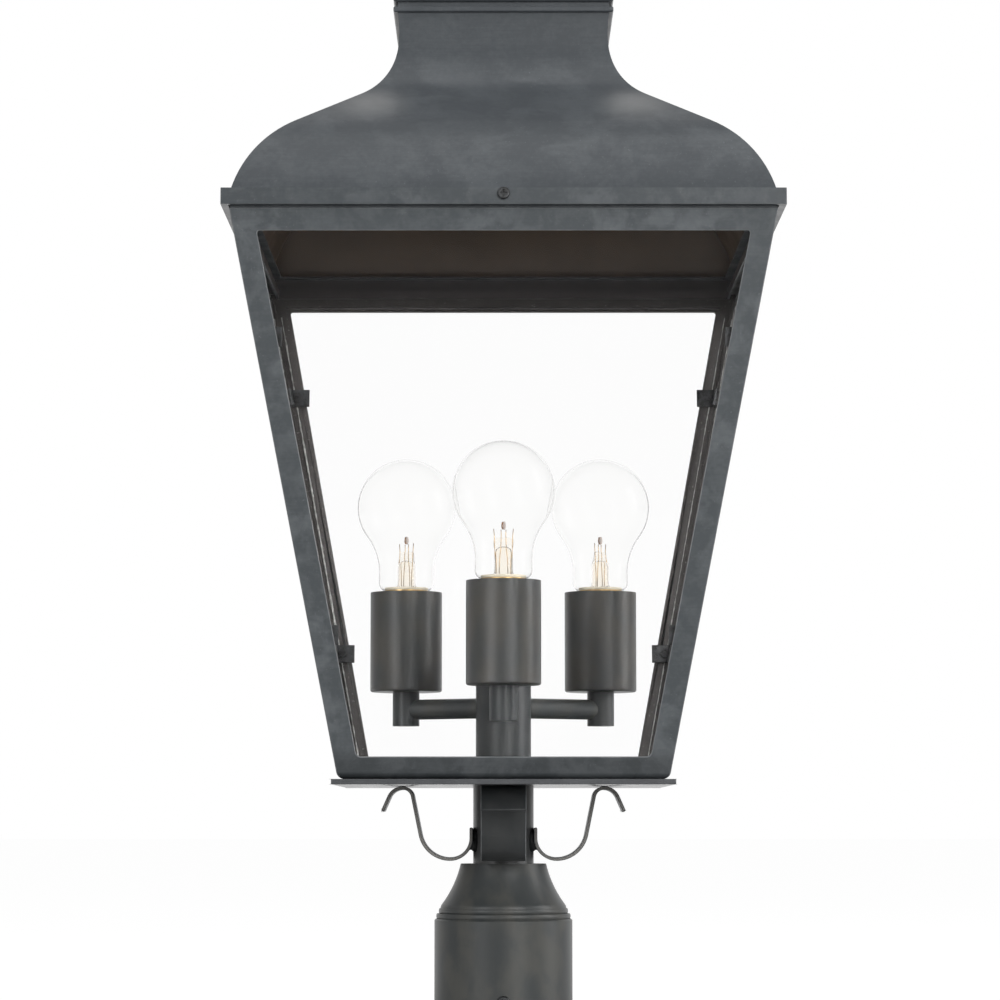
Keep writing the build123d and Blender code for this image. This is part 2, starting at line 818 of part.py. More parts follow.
holder_bottom = cover_bottom + cover_floor
socket_floor = holder_bottom + holder_height - socket_depth
with BuildPart() as lampholders:
    with BuildSketch(lamp_place(holder_bottom)):
        Circle(holder_radius)
    extrude(amount=holder_height)
    with BuildSketch(lamp_place(socket_floor)):
        Circle(shell_radius + shell_wall + joint_gap)
    extrude(amount=holder_height, mode=Mode.SUBTRACT)
    with BuildSketch(lamp_place(holder_bottom)):
        Circle(nipple_radius + joint_gap)
    extrude(amount=hub_depth, mode=Mode.SUBTRACT)
keep(on_three_arms(lampholders), "lampholders")

with BuildPart() as holder_shells:
    with BuildSketch(lamp_place(socket_floor)):
        Circle(shell_radius + shell_wall)
        Circle(shell_radius, mode=Mode.SUBTRACT)
    extrude(amount=holder_bottom + holder_height - socket_floor)
keep(on_three_arms(holder_shells), "holder_shells")

with BuildPart() as holder_contacts:
    with BuildSketch(lamp_place(socket_floor)):
        Circle(contact_radius)
    extrude(amount=contact_height)
keep(on_three_arms(holder_contacts), "holder_contacts")

# ---- Lamps -------------------------------------------------------------------

# The glass: a globe that runs in a hollow sweep into a straight neck, then draws
# in to the heel that the screw cap holds. The blend radius makes all three tangent.
neck_blend = (glass_neck_radius**2 + glass_neck_drop**2 - globe_radius**2) / (
    2 * (globe_radius - glass_neck_radius)
)
neck_level = globe_centre - glass_neck_drop
heel_level = neck_level - glass_neck_length - glass_heel_drop
blend_turn = degrees(asin(glass_neck_drop / (globe_radius + neck_blend)))
stem_top = heel_level + lamp_stem_height

with BuildPart() as bulb_glass:
    with BuildSketch(Plane.XZ):
        with BuildLine():
            heel = SagittaArc(
                (glass_heel_radius, heel_level),
                (glass_neck_radius, heel_level + glass_heel_drop),
                -glass_heel_bulge,
            )
            neck = Line(heel @ 1, (glass_neck_radius, neck_level))
            blend = JernArc(neck @ 1, (0, 1), neck_blend, -blend_turn)
            crown = ThreePointArc(
                blend @ 1, (globe_radius, globe_centre), (0, globe_centre + globe_radius)
            )
            Polyline(crown @ 1, (0, heel_level), heel @ 0)
        make_face()
        mirror(about=Plane.YZ)
        offset(amount=-bulb_wall, mode=Mode.SUBTRACT)
        split(bisect_by=Plane.YZ)
        with BuildLine():
            Polyline(
                (0, heel_level + bulb_wall / 2),
                (lamp_stem_flare, heel_level + bulb_wall / 2),
                (lamp_stem_radius, heel_level + lamp_stem_flare_height),
                (lamp_stem_radius, stem_top),
                (0, stem_top),
                close=True,
            )
        make_face()
    revolve(axis=Axis.Z)
keep_three_ways(on_lamp_axis(bulb_glass), "bulb_glass")

# The screw cap: a rim round the heel, rolled thread, a taper and the tip contact.
tip_level = socket_floor + contact_height + seat_gap
cap_mouth = heel_level - joint_gap
cap_bore = cap_thread_radius - cap_thread_depth - cap_wall
thread_top = cap_mouth - cap_rim
thread_end = tip_level + cap_taper
thread_turns = round((thread_top - thread_end) / cap_thread_pitch)
pitch = (thread_top - thread_end) / thread_turns
with BuildPart() as bulb_cap:
    with BuildSketch(Plane.XZ):
        with BuildLine():
            mouth = Polyline(
                (cap_bore, cap_mouth), (glass_heel_radius, cap_mouth), (cap_thread_radius, thread_top)
            )
            for turn in range(thread_turns):
                ridge = thread_top - turn * pitch
                Polyline(
                    (cap_thread_radius, ridge),
                    (cap_thread_radius - cap_thread_depth, ridge - pitch / 2),
                    (cap_thread_radius, ridge - pitch),
                )
            Polyline(
                (cap_thread_radius, thread_end),
                (cap_tip_radius, tip_level),
                (0, tip_level),
                (0, thread_end),
                (cap_bore, thread_end),
                mouth @ 0,
            )
        make_face()
    revolve(axis=Axis.Z)
keep_three_ways(on_lamp_axis(bulb_cap), "bulb_cap")

# Lead wires standing on the glass stem, with the filament strung between them.
lead_foot = stem_top + joint_gap
with BuildPart() as filament:
    with BuildLine() as lead_path:
        FilletPolyline(
            (-lamp_stem_radius / 2, 0, lead_foot),
            (-lead_spread, 0, lead_foot + lead_height),
            (0, 0, lead_foot + lead_height + filament_rise),
            (lead_spread, 0, lead_foot + lead_height),
            (lamp_stem_radius / 2, 0, lead_foot),
            radius=lead_bend,
        )
    with BuildSketch(Plane(lead_path.line @ 0, z_dir=lead_path.line % 0)):
        Circle(lead_radius)
    sweep()
keep_three_ways(on_lamp_axis(filament), "filament")

print("height", round(finial_top, 1), "brim", 2 * brim_half, "roof neck", round(neck_top, 1))
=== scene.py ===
# %% [markdown]
# # Post top lantern
#
# The real lantern is a square tapered cage of painted sheet steel with clear panes, an
# ogee roof, three clear lamps on arms and a casting that slips over a post. The metal
# pieces already stand in the frame at their real size, so this script gives them their
# finish, softens their edges, and makes what a solid model leaves out: blown lamp
# glass, wires, putty, welds and the studio round them.

# %% Load the frame
import math
import random

import bmesh
import bpy
from mathutils import Matrix, Vector


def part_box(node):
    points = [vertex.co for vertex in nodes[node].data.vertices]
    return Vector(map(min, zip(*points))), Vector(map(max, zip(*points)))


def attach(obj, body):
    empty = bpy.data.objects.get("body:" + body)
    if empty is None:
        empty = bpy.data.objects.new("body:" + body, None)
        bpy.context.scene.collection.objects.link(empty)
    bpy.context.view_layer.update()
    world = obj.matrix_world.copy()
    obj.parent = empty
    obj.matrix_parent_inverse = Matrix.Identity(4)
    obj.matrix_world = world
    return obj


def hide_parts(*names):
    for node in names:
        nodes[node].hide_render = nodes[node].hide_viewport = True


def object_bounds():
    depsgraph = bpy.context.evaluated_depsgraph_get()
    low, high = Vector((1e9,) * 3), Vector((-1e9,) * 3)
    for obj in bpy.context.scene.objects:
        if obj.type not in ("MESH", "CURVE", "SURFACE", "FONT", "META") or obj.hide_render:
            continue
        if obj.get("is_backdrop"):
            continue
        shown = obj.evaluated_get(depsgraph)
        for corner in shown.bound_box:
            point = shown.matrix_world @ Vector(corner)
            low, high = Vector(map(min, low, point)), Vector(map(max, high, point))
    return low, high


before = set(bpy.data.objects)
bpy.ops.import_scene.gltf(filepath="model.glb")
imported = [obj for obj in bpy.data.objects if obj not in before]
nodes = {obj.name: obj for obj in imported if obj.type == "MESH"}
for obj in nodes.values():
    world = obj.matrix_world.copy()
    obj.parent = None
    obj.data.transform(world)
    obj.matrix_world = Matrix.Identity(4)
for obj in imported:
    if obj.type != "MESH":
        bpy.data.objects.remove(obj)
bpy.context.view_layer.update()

MM = 0.001
ways = ["front", "right", "left"]
sides = ["front", "right", "back", "left"]

# %% [markdown]
# ## Shader sums
#
# A finish is built from noise, masks and colours. Written node by node it is long and
# hard to read, so a small class wraps a socket and lets Python's own signs make the
# Math nodes. Colours and vectors are kept away from it, because a Math node turns a
# colour into a grey number: they go through Mix and Vector Math instead. A second class
# holds a material and has one method that adds any other node.


# %% A socket that can be used in sums
class Level:
    """A shader socket that carries one number, and adds a Math node for each sum."""

    def __init__(self, finish, socket):
        self.finish = finish
        self.socket = socket

    def sum_of(self, operation, left, right):
        return self.finish.node("ShaderNodeMath", {"operation": operation}, left, right)

    def __add__(self, other):
        return self.sum_of("ADD", self, other)

    def __radd__(self, other):
        return self.sum_of("ADD", other, self)

    def __sub__(self, other):
        return self.sum_of("SUBTRACT", self, other)

    def __rsub__(self, other):
        return self.sum_of("SUBTRACT", other, self)

    def __mul__(self, other):
        return self.sum_of("MULTIPLY", self, other)

    def __rmul__(self, other):
        return self.sum_of("MULTIPLY", other, self)

    def __truediv__(self, other):
        return self.sum_of("DIVIDE", self, other)

    def __rtruediv__(self, other):
        return self.sum_of("DIVIDE", other, self)

    def __abs__(self):
        return self.finish.node("ShaderNodeMath", {"operation": "ABSOLUTE"}, self)


# %% One finish and its nodes
class Finish:
    """A material, or the world, under a plain name."""

    def __init__(self, name, owner=None):
        self.owner = owner or bpy.data.materials.new(name)
        self.owner.use_nodes = True
        self.tree = self.owner.node_tree
        self.tree.nodes.clear()

    def node(self, kind, settings=None, *values, out=0, **named):
        """Add a node: its settings first, then the values or links of its sockets.

        Values in a row go to its sockets in order, and named ones by name."""
        made = self.tree.nodes.new(kind)
        for key, setting in (settings or {}).items():
            if key == "stops":
                self.set_stops(made.color_ramp, setting)
            else:
                setattr(made, key, setting)
        live = [socket for socket in made.inputs if socket.enabled]
        for socket, value in zip(live, values):
            self.feed(socket, value)
        for key, value in named.items():
            name = key.replace("_", " ")
            self.feed(next(socket for socket in live if socket.name == name), value)
        live = [socket for socket in made.outputs if socket.enabled]
        if not live:
            return made
        if isinstance(out, int):
            return Level(self, live[out])
        return Level(self, next(socket for socket in live if socket.name == out))

    def feed(self, socket, value):
        if isinstance(value, Level):
            self.tree.links.new(value.socket, socket)
        elif value is not None:
            socket.default_value = value

    def set_stops(self, ramp, stops):
        """Place a ramp's stops: pairs of a position and a grey level or a colour."""
        while len(ramp.elements) < len(stops):
            ramp.elements.new(1.0)
        for element, (place, colour) in zip(ramp.elements, stops):
            element.position = place
            grey = isinstance(colour, (int, float))
            element.color = (colour, colour, colour, 1) if grey else (*colour, 1)

    def noise(self, place, scale, detail=3.0, roughness=0.5, distortion=0.0):
        """Cloudy noise, around 0.5, with patches of about 1 / scale metres."""
        return self.node(
            "ShaderNodeTexNoise", {}, Vector=place, Scale=scale, Detail=detail,
            Roughness=roughness, Distortion=distortion,
        )

    def ramp(self, level, low, high):
        """0 below low, 1 above high, eased between."""
        made = self.node("ShaderNodeValToRGB", {"stops": [(low, 0.0), (high, 1.0)]}, level)
        made.socket.node.color_ramp.interpolation = "EASE"
        return made

    def blend(self, mask, under, over):
        """Colour under where mask is 0, colour over where it is 1."""
        pads = [(*c, 1) if isinstance(c, tuple) and len(c) == 3 else c for c in (under, over)]
        return self.node("ShaderNodeMix", {"data_type": "RGBA"}, mask, *pads)

    def stretch(self, place, across):
        """The place scaled along each axis, so that noise turns into streaks."""
        return self.node("ShaderNodeVectorMath", {"operation": "MULTIPLY"}, place, across)

    def dot(self, left, right):
        """How much two directions agree, as one number."""
        settings = {"operation": "DOT_PRODUCT"}
        return self.node("ShaderNodeVectorMath", settings, left, right, out="Value")

    def rise(self, place):
        """The level of a place above the lantern's foot."""
        return self.node("ShaderNodeSeparateXYZ", {}, place, out="Z")

    def bump(self, height, strength, distance):
        """A normal from a height; distance is the relief's real height in metres."""
        return self.node(
            "ShaderNodeBump", {}, Strength=strength, Distance=distance, Height=height
        )

    def surface(self, shader):
        self.node("ShaderNodeOutputMaterial", {}, Surface=shader)
        return self.owner


def own_place(finish):
    """The place on the piece in metres. It rides with the piece through every pose."""
    return finish.node("ShaderNodeTexCoord", {}, out="Object")


def own_normal(finish):
    """The way that the face looks, on the piece itself."""
    return finish.node("ShaderNodeTexCoord", {}, out="Normal")


print("shader helpers ready")

# %% [markdown]
# ## Graphite paint
#
# The sheet metal looks hand-rubbed: a dark blue grey coat, with softer and lighter
# clouds one to three centimetres across, fine flat streaks, and grain and tiny pale
# specks. One flat grey would look like plastic. Noises of these sizes are mixed here,
# and the same clouds drive the gloss, as if the pale places were wiped smoother.
#
# The real lantern probably has one paint. Here the roof, frames, brim, ring and plate
# have a grey each, chosen until the front looked as in the photograph under these
# lamps: lighter and darker copies of one paint, which is painted light. Each roof panel
# also gets two pale patches in its neck bend, a painted reflection of lamps in the
# bend, and the lowest rails are painted darker than the rest. Two things may be paint
# or only light in the photograph, and are painted in: two pale patches in the neck bend
# of each roof panel, and darker lowest rails.
#
# The inside of the body and the roof looks brown black, so each paint has an inner
# colour as well. A face looks inwards where its normal points back at the lantern's
# axis, which a dot product of the place and the normal tells without any painting by
# hand.


# %% Which faces look inwards
def inward_faces(paint, place):
    """1 on faces that look at the lantern's axis, 0 on those that look out."""
    outwards = paint.dot(paint.stretch(place, (1, 1, 0)), own_normal(paint))
    return 1.0 - paint.ramp(outwards + 0.5, 0.465, 0.49)  # a level face, at 0.5, is outer


print("inward faces can be told apart")


# %% Where the roof's neck bend gets a painted highlight
bend_across = 77 * MM  # from the panel's middle line
bend_level = 549.5 * MM
bend_reach = 30 * MM  # how far the patch runs out to either side
bend_height = 16 * MM  # and up and down


def near(paint, level, centre, reach):
    """1 at the centre, down to 0 at the reach on either side of it."""
    return 1.0 - paint.ramp(abs(level - centre) / reach, 0.0, 1.0)


def bend_highlight_mask(paint, place):
    """1 in two soft patches on each roof panel, left and right in its neck bend, where a
    highlight is painted.
    """
    sizes = paint.node("ShaderNodeVectorMath", {"operation": "ABSOLUTE"}, place)
    x, y, z = [paint.node("ShaderNodeSeparateXYZ", {}, sizes, out=axis) for axis in "XYZ"]
    across = paint.node("ShaderNodeMath", {"operation": "MINIMUM"}, x, y)
    sideways = near(paint, across, bend_across, bend_reach)
    return sideways * near(paint, z, bend_level, bend_height)


print("pale bend patches at", round(bend_across / MM), "mm, up", round(bend_level / MM, 1))


# %% Graphite paint for the sheet metal
rail_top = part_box("base_plate")[1][2] + 12.5 * MM  # upper edge of the lowest rails
streaks = (60, 60, 900)  # per metre: streaks 17 mm long and 1 mm high
painted_bend_highlight = (0.2, 0.204, 0.205)
pale_speck = (0.36, 0.35, 0.33)
skin_relief = 0.01 * MM


def graphite_paint(
    name, deep, cloud, inner, gloss=0.4, cloud_size=0.014, cloud_share=0.7, speckle=0.0,
    low_rail=1.0, bend=0.0,
):
    """A rubbed paint between a deep and a cloudy grey, with an inner colour on inner faces.

    speckle is the strength of the pale specks on inner faces, low_rail the share of the
    colour that the lowest rails keep, and bend the strength of the painted highlight in
    the roof's neck bend."""
    paint = Finish(name)
    place = own_place(paint)
    clouds = paint.ramp(paint.noise(place, 1 / cloud_size, 3.0, 0.55, 0.4), 0.36, 0.66)
    patches = paint.ramp(paint.noise(place, 0.35 / cloud_size, 2.0, 0.5), 0.38, 0.62)
    rubbed = paint.noise(paint.stretch(place, streaks), 1.0, 4.0, 0.6)
    grain = paint.noise(place, 330.0, 3.0, 0.65)  # 3 mm
    specks = paint.ramp(paint.noise(place, 700.0, 2.0, 0.6), 0.66, 0.74)  # 1.4 mm
    wiped = clouds * (0.45 + 0.55 * patches) * cloud_share
    streaked = wiped + (rubbed - 0.5) * 0.4 + (grain - 0.5) * 0.65 + specks * patches * 0.8
    # The lowest rails are painted darker, keeping the share low_rail of their colour.
    dark_foot = 1.0 - paint.ramp(paint.rise(place), rail_top - 3 * MM, rail_top + 6 * MM)
    low_rail_tones = [tuple(low_rail * c for c in tone) for tone in (deep, cloud)]
    foot = paint.blend(streaked, *low_rail_tones)
    outer = paint.blend(dark_foot, paint.blend(streaked, deep, cloud), foot)
    # The pale patches in the neck bend are a painted reflection of the lamps.
    if bend:
        outer = paint.blend(bend_highlight_mask(paint, place) * bend, outer, painted_bend_highlight)
    inner_tone = paint.blend(clouds * 0.4, inner, tuple(1.5 * c for c in inner))
    inside = paint.blend(specks * speckle, inner_tone, pale_speck)
    roughness = gloss + (0.5 - clouds) * 0.08 + (rubbed - 0.5) * 0.1
    relief = paint.noise(place, 3500.0, 2.0, 0.5) + rubbed * 0.6
    shader = paint.node(
        "ShaderNodeBsdfPrincipled", {}, Roughness=roughness,
        Base_Color=paint.blend(inward_faces(paint, place), outer, inside),
        Normal=paint.bump(relief, 0.12, skin_relief), IOR=1.45, Coat_Weight=0.25,
        Coat_Roughness=0.22,
    )
    return paint.surface(shader)


roof_paint = graphite_paint(
    "roof_paint", (0.058, 0.066, 0.074), (0.115, 0.127, 0.137), (0.088, 0.056, 0.033),
    cloud_size=0.028, cloud_share=0.42, bend=0.66,
)
frame_paint = graphite_paint(
    "frame_paint", (0.073, 0.083, 0.09), (0.145, 0.158, 0.168), (0.075, 0.068, 0.065),
    speckle=0.8, low_rail=0.64,
)
brim_paint = graphite_paint(
    "brim_paint", (0.06, 0.069, 0.076), (0.116, 0.127, 0.136), (0.05, 0.044, 0.043)
)
ring_paint = graphite_paint(
    "ring_paint", (0.066, 0.075, 0.082), (0.126, 0.138, 0.147), (0.046, 0.04, 0.04)
)
plate_paint = graphite_paint(
    "plate_paint", (0.08, 0.084, 0.09), (0.118, 0.123, 0.13), (0.06, 0.056, 0.054), gloss=0.27
)
# A paler paint for the bevels of frames and straps: a painted highlight along their edges.
edge_highlight = graphite_paint(
    "edge_highlight", (0.16, 0.17, 0.18), (0.3, 0.31, 0.32), (0.12, 0.117, 0.114),
    cloud_size=0.012,
)
print("graphite paints ready")

# %% [markdown]
# ## Smooth dark paint
#
# The turned and cast pieces, which are the fitter, stem, column, arms and socket
# covers, look smoother and browner than the sheet metal. They get their own kind of
# paint, with weaker clouds and a finer skin, so that their long soft highlights stay
# clean. Their greys too were chosen by tone from the front, though they may all be one
# paint: the stem's is about three times as light as the column's, lightened to make up
# for the shade of the base plate above it, which is painted light. The scroll straps
# are painted alike, and their cut edges get a pale colour, a painted highlight, as they
# look in the photograph.


# %% Which faces are the cut edges of a strap
def cut_edges(paint, place):
    """1 on faces that look along the circle round the lantern's axis."""
    settings = {"operation": "CROSS_PRODUCT"}
    around = paint.node("ShaderNodeVectorMath", settings, (0, 0, 1), place)
    facing = abs(paint.dot(around, own_normal(paint)))  # up to the distance from the axis
    return paint.ramp(facing * 10, 0.13, 0.18)  # which is 16 mm and more on a strap


print("cut edges can be told apart")


# %% Smooth paint for the turned pieces
turned_cloud = 16 * MM
upright_streaks = (700, 700, 40)  # per metre: streaks 1.4 mm wide and 25 mm high


def turned_paint(name, deep, cloud, gloss=0.42, edge=None):
    """A smooth paint between two greys, with a paler colour on cut edges if given, which is a
    painted highlight.
    """
    paint = Finish(name)
    place = own_place(paint)
    drawn = paint.stretch(place, (1, 1, 0.6))
    clouds = paint.ramp(paint.noise(drawn, 1 / turned_cloud, 3.0, 0.5, 0.3), 0.34, 0.68)
    rubbed = paint.noise(paint.stretch(place, upright_streaks), 1.0, 3.0, 0.5)
    specks = paint.ramp(paint.noise(place, 1100.0, 1.0, 0.5), 0.7, 0.8)
    colour = paint.blend(clouds * 0.75 + (rubbed - 0.5) * 0.2 + specks * 0.3, deep, cloud)
    if edge:
        colour = paint.blend(cut_edges(paint, place), colour, edge)
    roughness = gloss + (rubbed - 0.5) * 0.06 + clouds * 0.04
    relief = paint.noise(place, 3800.0, 2.0, 0.5)
    shader = paint.node(
        "ShaderNodeBsdfPrincipled", {}, Base_Color=colour, Roughness=roughness,
        Normal=paint.bump(relief, 0.06, skin_relief), IOR=1.45, Coat_Weight=0.2,
        Coat_Roughness=0.3,
    )
    return paint.surface(shader)


cast_paint = turned_paint("cast_paint", (0.048, 0.053, 0.054), (0.086, 0.085, 0.076))
column_paint = turned_paint("column_paint", (0.028, 0.032, 0.034), (0.048, 0.05, 0.05))
# The pale colour on the straps' cut edges is a painted highlight.
strap_paint = turned_paint(
    "strap_paint", (0.032, 0.036, 0.038), (0.054, 0.056, 0.056), edge=(0.3, 0.29, 0.27)
)
# The stem's paint is lighter to make up for the shade under the base plate: painted light.
lightened_stem_paint = turned_paint("lightened_stem_paint", (0.1, 0.104, 0.106), (0.15, 0.15, 0.145), gloss=0.36)
cover_paint = turned_paint(
    "cover_paint", (0.035, 0.037, 0.037), (0.057, 0.052, 0.044), gloss=0.38
)
print("turned paints ready")

# %% [markdown]
# ## Glass
#
# The panes are so clear that they hardly show. Real glass bends a lamp's light, which a
# path tracer finds only by luck, so everything behind it would turn dark. A Light Path
# node lets the lamps' rays straight through, and the eye still gets a glass surface.
# That glass bends light less than a window's 1.5, because in the photograph's bright
# room the lamps have only a faint outline, and the panes mirror next to nothing.


# %% Clear glass for panes and lamps
ripple_relief = 0.2 * MM


def clear_glass(name, tint, bend, waves=0.0):
    """Glass that lets the lamps' light straight through, wavy where it was blown."""
    glass = Finish(name)
    place = own_place(glass)
    ripple = glass.noise(place, 18.0, 2.0, 0.5)
    smear = glass.ramp(glass.noise(place, 40.0, 4.0, 0.6), 0.55, 0.8)
    body = glass.node(
        "ShaderNodeBsdfPrincipled", {}, Base_Color=(*tint, 1), Roughness=smear * 0.015,
        IOR=bend, Transmission_Weight=1.0, Normal=glass.bump(ripple, waves, ripple_relief),
    )
    open_way = glass.node("ShaderNodeBsdfTransparent", {}, Color=(*tint, 1))
    lamp_ray = glass.node("ShaderNodeLightPath", {}, out="Is Shadow Ray")
    return glass.surface(glass.node("ShaderNodeMixShader", {}, lamp_ray, body, open_way))


pane_glass = clear_glass("pane_glass", (1.0, 1.0, 1.0), bend=1.2)
lamp_glass = clear_glass("lamp_glass", (1.0, 1.0, 0.997), waves=0.04, bend=1.1)
mount_glass = clear_glass("mount_glass", (0.99, 0.96, 0.91), waves=0.2, bend=1.1)
print("glass ready")

# %% [markdown]
# ## Small metals
#
# Screws and clips are blackened steel, the lamp caps and holder shells are brass, and
# the tie tube with its nuts is zinc plated. All are the same idea with other numbers:
# a metal whose gloss changes with fine turning marks.


# %% Bare metals
def bare_metal(name, colour, worn, gloss, marks):
    """Metal with dull, worn patches and tool marks of so many per metre."""
    metal = Finish(name)
    place = own_place(metal)
    turned = metal.noise(metal.stretch(place, marks), 1.0, 3.0, 0.6)
    dull = metal.ramp(metal.noise(place, 260.0, 3.0, 0.6), 0.4, 0.7)
    shader = metal.node(
        "ShaderNodeBsdfPrincipled", {}, Base_Color=metal.blend(dull, colour, worn),
        Metallic=1.0, Roughness=gloss + (turned - 0.5) * 0.25 + dull * 0.1,
        Normal=metal.bump(turned, 0.2, 0.03 * MM),
    )
    return metal.surface(shader)


turned_marks = (300, 300, 4000)  # per metre, along each axis
plated_marks = (900, 900, 2500)
screw_marks = (1500, 1500, 1500)
drawn_marks = (900, 900, 3000)
lamp_brass = bare_metal("lamp_brass", (0.72, 0.5, 0.22), (0.5, 0.33, 0.14), 0.3, turned_marks)
plated_steel = bare_metal(
    "plated_steel", (0.55, 0.54, 0.5), (0.42, 0.41, 0.38), 0.34, plated_marks
)
screw_steel = bare_metal(
    "screw_steel", (0.1, 0.103, 0.106), (0.06, 0.06, 0.06), 0.42, screw_marks
)
lead_wire = bare_metal("lead_wire", (0.7, 0.5, 0.28), (0.5, 0.34, 0.18), 0.35, drawn_marks)
hot_wire = bare_metal("hot_wire", (0.42, 0.22, 0.1), (0.3, 0.15, 0.07), 0.45, drawn_marks)
print("metals ready")

# %% [markdown]
# ## Resin, cement and putty
#
# The lampholders are moulded in dark resin, the lamps' caps are set on a cream cement,
# and the panes lie in pale putty. The first two are dense and matt with a faint flow in
# their colour. Putty that is smoothed with a wet finger gets a thin gloss, and grime
# settles in its hollows.


# %% Moulded resin and cement
def moulded(name, colour):
    """A dense matt mass with paler flow marks."""
    resin = Finish(name)
    place = own_place(resin)
    grain = resin.noise(place, 1200.0, 3.0, 0.6)
    flow = resin.ramp(resin.noise(place, 60.0, 2.0, 0.5), 0.4, 0.7)
    pale = tuple(min(1.0, 1.3 * c) for c in colour)
    shader = resin.node(
        "ShaderNodeBsdfPrincipled", {}, Base_Color=resin.blend(flow, colour, pale),
        Roughness=0.5 + grain * 0.1, Normal=resin.bump(grain, 0.2, 0.05 * MM),
    )
    return resin.surface(shader)


holder_resin = moulded("holder_resin", (0.05, 0.045, 0.04))
cream_cement = moulded("cream_cement", (0.74, 0.67, 0.54))
print("resin and cement ready")


# %% Pale putty
def putty_finish(name, colour):
    """Putty with a thin gloss, and grime where it lies low."""
    bead = Finish(name)
    place = own_place(bead)
    mottle = bead.ramp(bead.noise(place, 350.0, 3.0, 0.6), 0.35, 0.7)
    grime = tuple(0.45 * c for c in colour)
    shader = bead.node(
        "ShaderNodeBsdfPrincipled", {}, Base_Color=bead.blend(mottle, grime, colour),
        Roughness=0.35 + mottle * 0.2, Normal=bead.bump(mottle, 0.3, 0.1 * MM),
        Coat_Weight=0.4,
    )
    return bead.surface(shader)


# Pale putty that stands for a bright line along the stiles: partly a painted highlight.
putty_with_highlight = putty_finish("sealant_with_highlight", (0.8, 0.8, 0.77))
print("putty ready")

# %% [markdown]
# ## Dress the pieces
#
# Each piece of the frame gets the finish of its real part. Pieces of one kind share the
# beginning of their names, so one call dresses all four frames or all three covers.


# %% Dress the nodes
def dress(finish, *names):
    """Give a finish to every node whose name starts with one of these."""
    count = 0
    for name, piece in nodes.items():
        if name.startswith(names):
            piece.data.materials.clear()
            piece.data.materials.append(finish)
            count += 1
    print(finish.name, "on", count, "nodes")


dress(roof_paint, "roof_", "neck_", "cap_plate", "finial")
dress(frame_paint, "frame_")
dress(brim_paint, "brim")
dress(ring_paint, "top_ring")
dress(plate_paint, "base_plate")
dress(column_paint, "column", "knuckle_")
dress(strap_paint, "scroll_strap")
dress(cover_paint, "socket_cover")
dress(cast_paint, "post_fitter", "arm_")
dress(lightened_stem_paint, "stem")
dress(pane_glass, "glass_pane")
dress(lamp_glass, "bulb_glass")
dress(lamp_brass, "bulb_cap", "holder_shells", "holder_contacts")
dress(plated_steel, "tie_tube", "locknuts", "finial_nut")
dress(screw_steel, "set_screw", "brim_screws", "clip_screws")
dress(screw_steel, "upper_corner_clips", "lower_corner_clips")
dress(holder_resin, "lampholders")
dress(hot_wire, "filament")

# %% [markdown]
# ## Soft edges
#
# Cut and folded sheet never ends in a perfect edge: paint rounds it, and that thin
# round catches the light as a pale line all along the windows, the plate and the
# straps. A bevel of a few tenths of a millimetre on the finished mesh does the same.
# The weld first joins the faces, which come apart at every edge in a solid's mesh. On
# frames and straps the edge looks paler than the faces beside it, so the bevel has its
# own, paler paint: a painted highlight on top of the light that the round catches.


# %% Round the painted edges
joined_within = 0.01 * MM
sharp_turn = math.radians(38)


def soften(width, *names, rubbed=None):
    """Round the sharp edges of some nodes, with a paler paint on them, a painted highlight, if
    rubbed is given.
    """
    count = 0
    for name, piece in nodes.items():
        if name.startswith(names):
            weld = piece.modifiers.new("joined faces", "WELD")
            weld.merge_threshold = joined_within
            edge = piece.modifiers.new("painted edge", "BEVEL")
            edge.width = width
            edge.segments = 2
            edge.limit_method = "ANGLE"
            edge.angle_limit = sharp_turn
            edge.harden_normals = True
            edge.use_clamp_overlap = False
            if rubbed:
                piece.data.materials.append(rubbed)
                edge.material = 1
            count += 1
    print("edges rounded by", width / MM, "mm on", count, "nodes")


# Frames and straps get a paler paint on their bevels: a painted highlight.
soften(0.5 * MM, "frame_", rubbed=edge_highlight)
soften(0.4 * MM, "base_plate")
soften(0.4 * MM, "scroll_strap", rubbed=edge_highlight)
soften(0.3 * MM, "roof_cap", "upper_corner_clips", "lower_corner_clips")

# %% [markdown]
# ## Pieces of blown and drawn glass, and wire
#
# A lamp's envelope is blown in a mould and hardly half a millimetre thick, so it is
# turned here from its outline, with an inner wall that follows the outer one. Inside
# stands the mount: a drawn tube with its end pressed flat round the wires. Tubes, beads
# and wires come from one small function that carries a ring along a line of points.


# %% Mesh helpers
same_point = 0.002 * MM


def finished_mesh(name, shape, finish, body):
    """Turn a bmesh into a piece of the lantern that rides on a body."""
    bmesh.ops.remove_doubles(shape, verts=shape.verts, dist=same_point)
    bmesh.ops.recalc_face_normals(shape, faces=shape.faces)
    for face in shape.faces:
        face.smooth = True
    mesh = bpy.data.meshes.new(name)
    shape.to_mesh(mesh)
    shape.free()
    mesh.materials.append(finish)
    piece = bpy.data.objects.new(name, mesh)
    bpy.context.scene.collection.objects.link(piece)
    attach(piece, body)
    return piece


def stitch(shape, rings, closed):
    """Faces between rings of points, and from the last ring to the first if closed."""
    made = [[shape.verts.new(point) for point in ring] for ring in rings]
    pairs = list(zip(made, made[1:])) + ([(made[-1], made[0])] if closed else [])
    for low, high in pairs:
        count = len(low)
        for k in range(count):
            shape.faces.new((low[k], low[(k + 1) % count], high[(k + 1) % count], high[k]))
    return made


